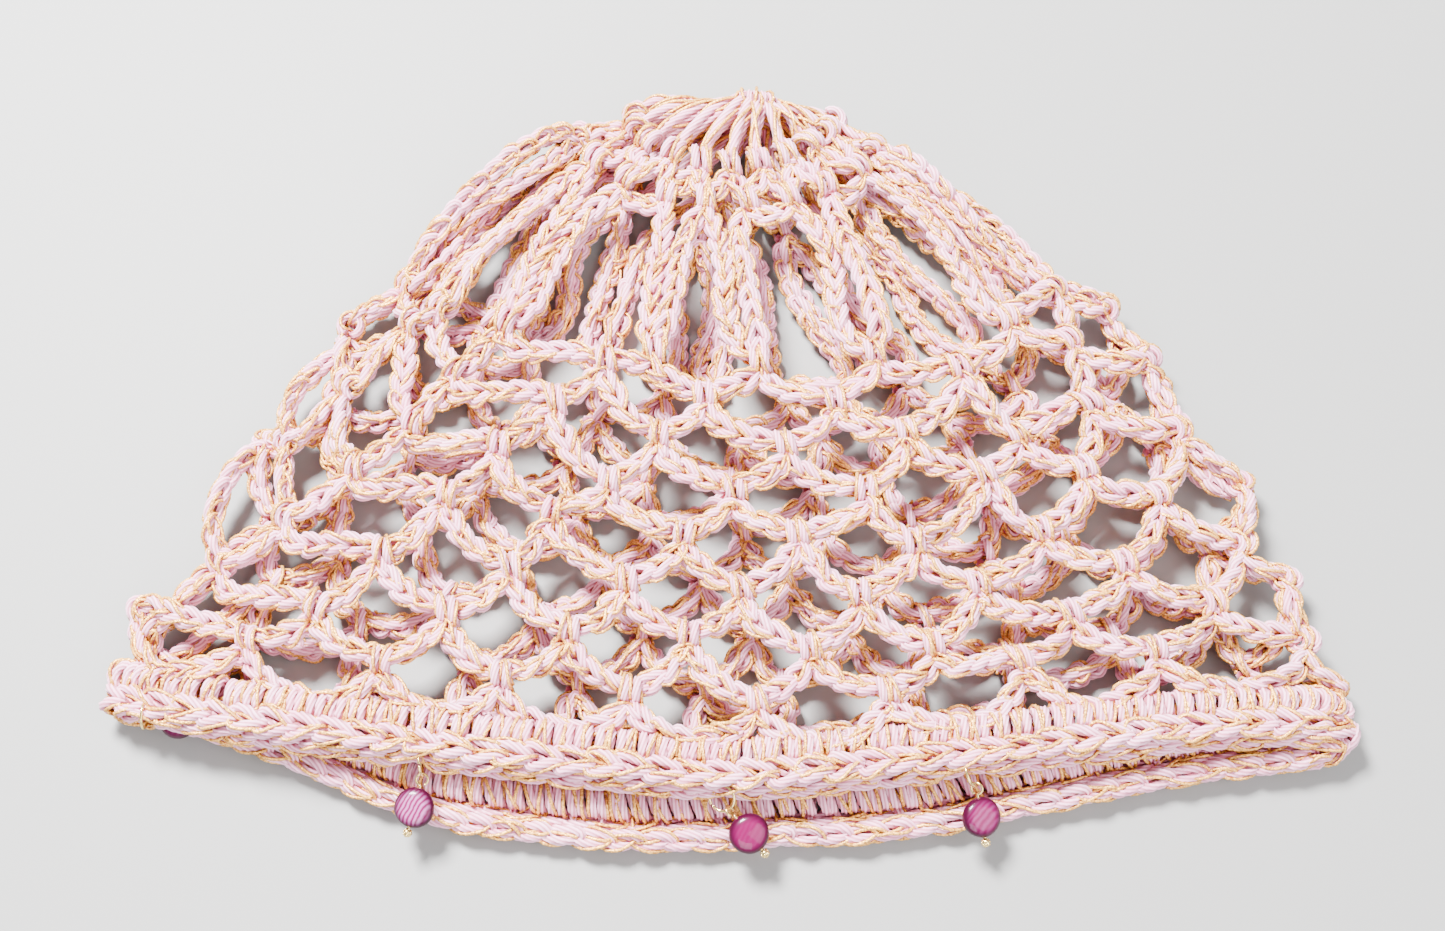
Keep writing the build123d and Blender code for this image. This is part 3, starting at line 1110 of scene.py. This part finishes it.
@dataclass
class BrimRow(Crochet):
    """Close single crochets over the last loops: bars side by side round the whole brim."""

    seed: int = 11
    pitch: float = 2.07
    lift: float = 8.5
    tall: float = 2.35
    deep: float = 1.7

    def build(self) -> None:
        """Make the row."""
        rng = np.random.default_rng(self.seed)
        ring = RingPath(*self.form.brim_line(self.lift))
        turns = int(round(ring.total / self.pitch))
        steps = 16
        theta = np.linspace(0.0, 2 * math.pi * turns, turns * steps + 1)
        turn = theta / (2 * math.pi)
        uneven = rng.normal(0.0, 0.12, turns + 1)
        pairs = 0.13 * np.cos(math.pi * turn) + np.interp(turn, np.arange(turns + 1), uneven)
        slant = 0.22 * np.cos(theta)
        point, out, along = ring.at((turn + pairs + slant) / turns)
        down = unit(np.cross(out, along))
        tall = self.tall * (1 + np.interp(turn, np.arange(turns + 1), rng.normal(0, 0.05, turns + 1)))
        line = (point + down * (tall * signed_power(np.cos(theta), 0.85))[:, None]
                + out * (self.deep * np.sin(theta))[:, None])
        skein = self.skein()
        lengths = 4
        cuts = [len(line) // lengths * n for n in range(lengths)] + [len(line)]
        for start, stop in zip(cuts, cuts[1:]):
            skein.add(line[start:stop + 1])
        self.finish("brim_row", skein, ("brim_row_front", "brim_row_back"), rng)


@dataclass
class BrimEdge(Crochet):
    """The finishing braid at the mouth: a row of chain facing out, and a scalloped lip under it."""

    seed: int = 13
    braid: ChainStitch = field(default_factory=lambda: ChainStitch(6.0, 2.5, 1.1))
    lip: ChainStitch = field(default_factory=lambda: ChainStitch(6.0, 2.0, 1.2))
    opening: float = 3.3
    back_drop: float = 1.5

    def build(self) -> None:
        """Make both rows."""
        rng = np.random.default_rng(self.seed)
        skein = self.skein()
        skein.radius = self.yarn_radius * 1.06
        for stitch, lift, inward, roll in ((self.braid, 3.9, 1.6, 0.12), (self.lip, 1.4, -1.2, 1.2)):
            line, out = self.form.brim_line(lift)
            line = line + out * inward
            line[:, 2] -= (self.back_drop if stitch is self.lip else 0.0) * np.clip(-out[:, 2], 0, 1)
            lengths = running_length(line)
            even = np.linspace(0, lengths[-1], 900)
            line, out = sample(line, lengths, even), unit(sample(out, lengths, even))
            wave = even / lengths[-1] * 2 * math.pi
            turn = roll + 0.10 * np.sin(9 * wave + rng.uniform(0, 6)) + 0.08 * np.sin(23 * wave)
            full = np.ones(len(line))
            if stitch is self.lip:
                line, full = self.gather(line, full)
            chain, thickness = stitch.lay(line, out, full, turn, rng, self.parts)
            skein.add(chain, thickness)
        self.finish("brim_edge", skein, ("brim_edge_front", "brim_edge_back"), rng)

    def gather(self, line: np.ndarray, full: np.ndarray) -> tuple:
        """Draw the lip in to a thin strand where a jump ring passes round it.

        Args:
            line: The lip's middle line.
            full: Share of its full width at its points.

        Returns:
            The line and the shares, drawn in.
        """
        along = unit(np.gradient(line, axis=0))
        for joint in frame["joints"]:
            if joint["name"].startswith("ring_"):
                gap = np.array(joint["pos_m"]) / MM - line
                near = np.exp(-(np.linalg.norm(gap, axis=1) / self.opening) ** 4)[:, None]
                gap = gap - along * np.sum(gap * along, axis=1, keepdims=True)
                line = line + near * gap
                full = full - 0.82 * near[:, 0]
        return line, full


@dataclass
class Crown(Crochet):
    """The starting ring and the long stitches that fan out of it."""

    seed: int = 17
    posts: int = 20
    ring_radius: float = 4.3
    ring_depth: float = 1.5
    post_gap: float = 0.98
    post_twist: float = 2.2

    def build(self, net: Net) -> None:
        """Make the ring and the posts.

        Args:
            net: The net that the posts end in.
        """
        rng = np.random.default_rng(self.seed)
        box = np.array(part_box("crown_ring")) / MM
        centre = box.mean(axis=0)
        self.build_ring(centre, rng)
        self.build_posts(centre, net, rng)

    def build_ring(self, centre: np.ndarray, rng: np.random.Generator) -> None:
        """Coil the starting ring.

        Args:
            centre: Its middle.
            rng: Random numbers.
        """
        turns = 22
        theta = np.linspace(0.0, 2 * math.pi * turns, turns * 12 + 1)
        around = theta / turns
        radial = np.stack([np.cos(around), np.zeros_like(around), np.sin(around)], axis=1)
        line = (centre + radial * (self.ring_radius + self.ring_depth * np.cos(theta))[:, None]
                + np.array([0.0, 1.0, 0.0]) * (self.ring_depth * np.sin(theta))[:, None])
        ring = self.skein()
        ring.radius = self.yarn_radius * 0.85
        ring.add(line)
        self.finish("crown_ring", ring, ("crown_ring",), rng)

    def build_posts(self, centre: np.ndarray, net: Net, rng: np.random.Generator) -> None:
        """Fan the long stitches out of the ring, each two yarns twisted together.

        Args:
            centre: Middle of the starting ring.
            net: The net that they end in.
            rng: Random numbers.
        """
        first = net.rounds()[0]
        path = RingPath(*self.form.ring(net.depth(first.middle)))
        share = np.arange(self.posts) / self.posts
        place, out, along = path.at(share)
        down = unit(np.cross(out, along))
        skein = self.skein()
        for k in range(self.posts):
            spoke = 2 * math.pi * share[k]
            start_out = np.array([math.cos(spoke), 0.0, math.sin(spoke)])
            start = centre + start_out * self.ring_radius + np.array([0.0, -0.5, 0.0])
            end = place[k] + down[k] * 1.0 - out[k] * 0.9
            sideways = abs(math.cos(spoke))
            rise = np.array([0.0, 0.8 * sideways - 1.5, 0.0])
            leave = start + start_out * (2.5 + 3.0 * sideways) + rise
            arrive = end - down[k] * np.linalg.norm(end - start) * 0.4
            middle = np.vstack([bezier(start, leave, arrive, end, 15), end[None]])
            t = np.linspace(0, 1, len(middle))
            forward = unit(np.gradient(middle, axis=0))
            side = unit(np.cross(forward, out[k]))
            lift = np.cross(side, forward)
            for half in (0, 1):
                angle = (math.pi * half + self.post_twist * t + rng.uniform(-0.3, 0.3))[:, None]
                twist = middle + self.post_gap * (np.cos(angle) * side + 0.7 * np.sin(angle) * lift)
                skein.add(through(twist, 2), 0.98)
        self.finish("crown_round", skein, ("crown_round_front", "crown_round_back"), rng)


# ------------------------------------------------------------------ charms


@dataclass
class Charm:
    """A split ring, a head pin and a coin of dyed shell, built where the frame's joints put them."""

    number: int
    finishes: Finishes
    paleness: float
    wire: float = 0.3
    pin_wire: float = 0.25
    eye_radius: float = 1.15
    eye_hang: float = 0.45
    ball_radius: float = 0.9
    ball_hang: float = 5.0
    dots: int = 22
    coin_radius: float = 4.0
    coin_half: float = 1.8
    bore: float = 0.42

    def read(self) -> None:
        """Read the charm's places and directions from the frame."""
        n = self.number
        joints = {joint["name"]: joint for joint in frame["joints"]}
        self.link = np.array(joints[f"pin_{n}_swing"]["pos_m"]) / MM
        spin = joints[f"bead_{n}_spin"]
        self.bead = np.array(spin["pos_m"]) / MM
        self.pin = unit(np.array(spin["axis"]))
        ring = frame["nodes"][f"jump_ring_{n}"]
        points = np.array([v.co for v in ring.data.vertices]) / MM
        middle = points.mean(axis=0)
        self.normal = np.linalg.svd(points - middle, full_matrices=False)[2][2]
        ones = np.column_stack([2 * (points - middle), np.ones(len(points))])
        flat = np.sum((points - middle) ** 2, axis=1)
        solved = np.linalg.lstsq(ones, flat, rcond=None)[0][:3]
        self.centre = middle + solved - self.normal * np.dot(solved, self.normal)
        self.outward = unit(self.link - self.centre)
        self.tangent = unit(np.cross(self.normal, self.outward))
        coin = frame["nodes"][f"shell_bead_{n}"]
        shell = np.array([v.co for v in coin.data.vertices]) / MM
        self.face = np.linalg.svd(shell - shell.mean(axis=0), full_matrices=False)[2][2]
        self.face = unit(self.face - self.pin * np.dot(self.face, self.pin))
        if self.face[2] < 0:
            self.face = -self.face

    def place(self, piece: bpy.types.Object, body: str, node: str, slot: Slot) -> None:
        """Set a piece on its body.

        Args:
            piece: The piece.
            body: CAD body that it rides on.
            node: CAD node that it stands for.
            slot: Its material slot; not used.
        """
        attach(piece, body)
        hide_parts(node)
        LOG.info("%s: %d faces", piece.name, len(piece.data.polygons))

    def build(self) -> None:
        """Make the three pieces."""
        self.read()
        self.build_ring()
        self.build_pin()
        self.build_bead()

    def build_ring(self) -> None:
        """Make the split ring, its ends a hair apart and slightly out of line."""
        side = self.tangent
        cross = np.cross(self.normal, side)
        angle = np.radians(np.linspace(3.0, 355.0, 73))
        radius = np.linalg.norm(self.link - self.centre)
        offset = np.linspace(-0.06, 0.06, len(angle))
        line = (self.centre + radius * (np.cos(angle)[:, None] * side + np.sin(angle)[:, None] * cross)
                + self.normal * offset[:, None])
        wire = Skein(self.wire, plies=7, relief=0.0, lay_length=STRAIGHT_LAY)
        wire.add(line)
        piece = wire.mesh(f"charm_{self.number}_jump_ring", self.finishes.wire)
        self.place(piece, f"ring_{self.number}", f"jump_ring_{self.number}", Slot.GOLD_WIRE)

    def build_pin(self) -> None:
        """Make the head pin: a turned eye, a straight shank and a dotted ball end."""
        eye = self.link + self.pin * self.eye_hang
        across = unit(np.cross(self.tangent, self.pin))
        angle = np.radians(np.linspace(-325.0, 0.0, 40))
        spiral = np.linspace(0.30, 0.0, len(angle))
        round_eye = np.cos(angle)[:, None] * self.pin + np.sin(angle)[:, None] * across
        turn = eye + self.eye_radius * round_eye + self.tangent * spiral[:, None]
        start = eye + self.pin * self.eye_radius
        ball = self.bead + self.pin * self.ball_hang
        shank = np.linspace(start + self.pin * 0.25, ball, 14)
        wire = Skein(self.pin_wire, plies=6, relief=0.0, lay_length=STRAIGHT_LAY)
        wire.add(turn)
        wire.add(np.vstack([start - self.pin * 0.2, shank]))
        theta = np.linspace(0.0, math.pi, 15)
        axis = ball - self.pin * np.cos(theta)[:, None] * self.ball_radius
        wire.add(axis, np.maximum(np.sin(theta), 0.02) * self.ball_radius / self.pin_wire)
        golden = math.pi * (3 - math.sqrt(5))
        side = unit(np.cross(self.pin, UP))
        third = np.cross(self.pin, side)
        for k in range(self.dots):
            height = 1 - 2 * (k + 0.5) / self.dots
            wide = math.sqrt(1 - height ** 2)
            way = self.pin * height + wide * (math.cos(golden * k) * side + math.sin(golden * k) * third)
            dot = np.array([ball + way * d for d in (0.72, 0.80, 0.90, 0.98, 1.02)])
            wire.add(dot, np.array([0.8, 0.8, 0.72, 0.45, 0.05]))
        piece = wire.mesh(f"charm_{self.number}_head_pin", self.finishes.wire)
        self.place(piece, f"pin_{self.number}", f"head_pin_{self.number}", Slot.GOLD_WIRE)

    def build_bead(self) -> None:
        """Make the coin, drill it along the pin and set it on its body."""
        coin = self.turn_coin()
        drill = Skein(self.bore, plies=8, relief=0.0, lay_length=STRAIGHT_LAY)
        drill.add(np.linspace(self.bead - self.pin * 5, self.bead + self.pin * 5, 3))
        cutter = drill.mesh("drill", self.finishes.wire)
        cut = coin.modifiers.new("bore", "BOOLEAN")
        cut.operation = "DIFFERENCE"
        cut.solver = "EXACT"
        cut.object = cutter
        evaluated = coin.evaluated_get(bpy.context.evaluated_depsgraph_get())
        drilled = bpy.data.meshes.new_from_object(evaluated)
        coin.modifiers.clear()
        coin.data = drilled
        bpy.data.objects.remove(cutter, do_unlink=True)
        drilled.materials.clear()
        drilled.materials.append(DyedShellFinish().material(self.number, self.paleness))
        for polygon in drilled.polygons:
            polygon.use_smooth = True
            polygon.material_index = 0
        self.place(coin, f"bead_{self.number}", f"shell_bead_{self.number}", Slot.DYED_SHELL)

    def turn_coin(self) -> bpy.types.Object:
        """Turn the puffed coin: a rounded rim, slightly uneven.

        Returns:
            The coin, not drilled yet.
        """
        rng = np.random.default_rng(40 + self.number)
        around, rows = 48, 14
        side = unit(np.cross(self.face, self.pin))
        verts, faces, rim = [], [], []
        oval, lobe, _ = rng.uniform(0, 6, 3)
        for face_sign in (1.0, -1.0):
            for share in np.linspace(0.0, 1.0, rows):
                wide = math.sin(share * math.pi / 2) ** 0.9
                height = (1 - wide ** 3.1) ** (1 / 2.2)
                for angle in np.arange(around) * 2 * math.pi / around:
                    uneven = 1 + 0.012 * math.sin(2 * angle + oval) + 0.008 * math.sin(3 * angle + lobe)
                    out = self.coin_radius * wide * uneven
                    verts.append(self.bead + out * (math.cos(angle) * self.pin + math.sin(angle) * side)
                                 + self.face * face_sign * self.coin_half * height)
                    rim.append(wide)
        for half in (0, 1):
            for row in range(rows - 1):
                first = (half * rows + row) * around
                for k in range(around):
                    a, b = first + k, first + (k + 1) % around
                    quad = (a, b, b + around, a + around)
                    faces.append(quad if half == 0 else quad[::-1])
        mesh = bpy.data.meshes.new("coin")
        mesh.from_pydata([tuple(v * MM) for v in verts], [], faces)
        numbers = mesh.attributes.new("rim", "FLOAT", "POINT").data
        numbers.foreach_set("value", np.array(rim, dtype=np.float32))
        coin = bpy.data.objects.new(f"charm_{self.number}_shell_bead", mesh)
        bpy.context.scene.collection.objects.link(coin)
        self.weld(coin)
        return coin

    @staticmethod
    def weld(piece: bpy.types.Object) -> None:
        """Join points that lie on each other.

        Args:
            piece: The piece to close.
        """
        work = bmesh.new()
        work.from_mesh(piece.data)
        bmesh.ops.remove_doubles(work, verts=work.verts, dist=1e-6)
        bmesh.ops.recalc_face_normals(work, faces=work.faces)
        work.to_mesh(piece.data)
        work.free()


# ------------------------------------------------------------------ studio


@dataclass
class Studio:
    """Pale table, soft lights and the camera."""

    elevation: float = 70.0
    distance: float = 430.0
    roll: float = 2.3
    aim: tuple = (-3.6, 0.0, 0.0)
    lens: float = 50.0
    table_half: float = 1.6
    sky: tuple = (0.95, 0.97, 1.0, 1.0)
    sky_strength: float = 0.85
    lights: tuple = (
        ("key", (-0.35, 0.45, 0.85), 0.28, 92.0),
        ("fill", (0.65, -0.35, 0.75), 0.8, 12.0),
        ("front", (0.0, -0.9, 0.6), 0.6, 10.0),
    )

    def build(self) -> None:
        """Make the table, the lights and the camera."""
        mesh = bpy.data.meshes.new("table_top")
        h = self.table_half
        mesh.from_pydata([(-h, -h, 0), (h, -h, 0), (h, h, 0), (-h, h, 0)], [], [(0, 1, 2, 3)])
        table = bpy.data.objects.new("table_top", mesh)
        mesh.materials.append(TableFinish().material())
        bpy.context.scene.collection.objects.link(table)
        for lamp in self.lights:
            self.light(*lamp)
        world = bpy.context.scene.world or bpy.data.worlds.new("studio")
        bpy.context.scene.world = world
        world.use_nodes = True
        background = world.node_tree.nodes["Background"]
        background.inputs["Color"].default_value = self.sky
        background.inputs["Strength"].default_value = self.sky_strength
        self.camera()

    @staticmethod
    def light(name: str, place: tuple, size: float, power: float) -> None:
        """Add one soft light aimed at the cap.

        Args:
            name: Light's name.
            place: Where it stands, in metres.
            size: Side of its square, in metres.
            power: Watts.
        """
        data = bpy.data.lights.new(name, "AREA")
        data.size = size
        data.energy = power
        lamp = bpy.data.objects.new(name, data)
        lamp.location = place
        lamp.rotation_euler = (Vector((0, 0, 0)) - Vector(place)).to_track_quat("-Z", "Y").to_euler()
        bpy.context.scene.collection.objects.link(lamp)

    def camera(self) -> None:
        """Add the camera at the viewing angle."""
        tilt = math.radians(self.elevation)
        roll = math.radians(self.roll)
        back = Vector((0.0, -math.cos(tilt), math.sin(tilt)))
        up = Vector((0.0, math.sin(tilt), math.cos(tilt)))
        right = Vector((1.0, 0.0, 0.0))
        across = math.cos(roll) * right + math.sin(roll) * up
        upright = math.cos(roll) * up - math.sin(roll) * right
        data = bpy.data.cameras.new("camera")
        data.lens = self.lens
        data.sensor_width = 36.0
        view = bpy.data.objects.new("camera", data)
        place = (Vector(self.aim) + self.distance * back) * MM
        turn = Matrix((across, upright, back)).transposed().to_4x4()
        view.matrix_world = Matrix.Translation(place) @ turn
        bpy.context.scene.collection.objects.link(view)
        bpy.context.scene.camera = view


def main() -> None:
    """Build the cap, its charms and the studio, in order."""
    logging.basicConfig(level=logging.INFO, format="%(message)s")
    Studio().build()
    kinds = (CottonFinish, GoldThreadFinish, GoldWireFinish)
    finishes = Finishes(*(kind().material() for kind in kinds))
    form = CapForm()
    basket = Workbasket(finishes)
    net = Net(form, basket)
    net.build()
    BrimRow(form, basket).build()
    BrimEdge(form, basket).build()
    Crown(form, basket).build(net)
    basket.make()
    for number, paleness in BEAD_PALENESS.items():
        Charm(number, finishes, paleness).build()


if __name__ == "__main__":
    main()
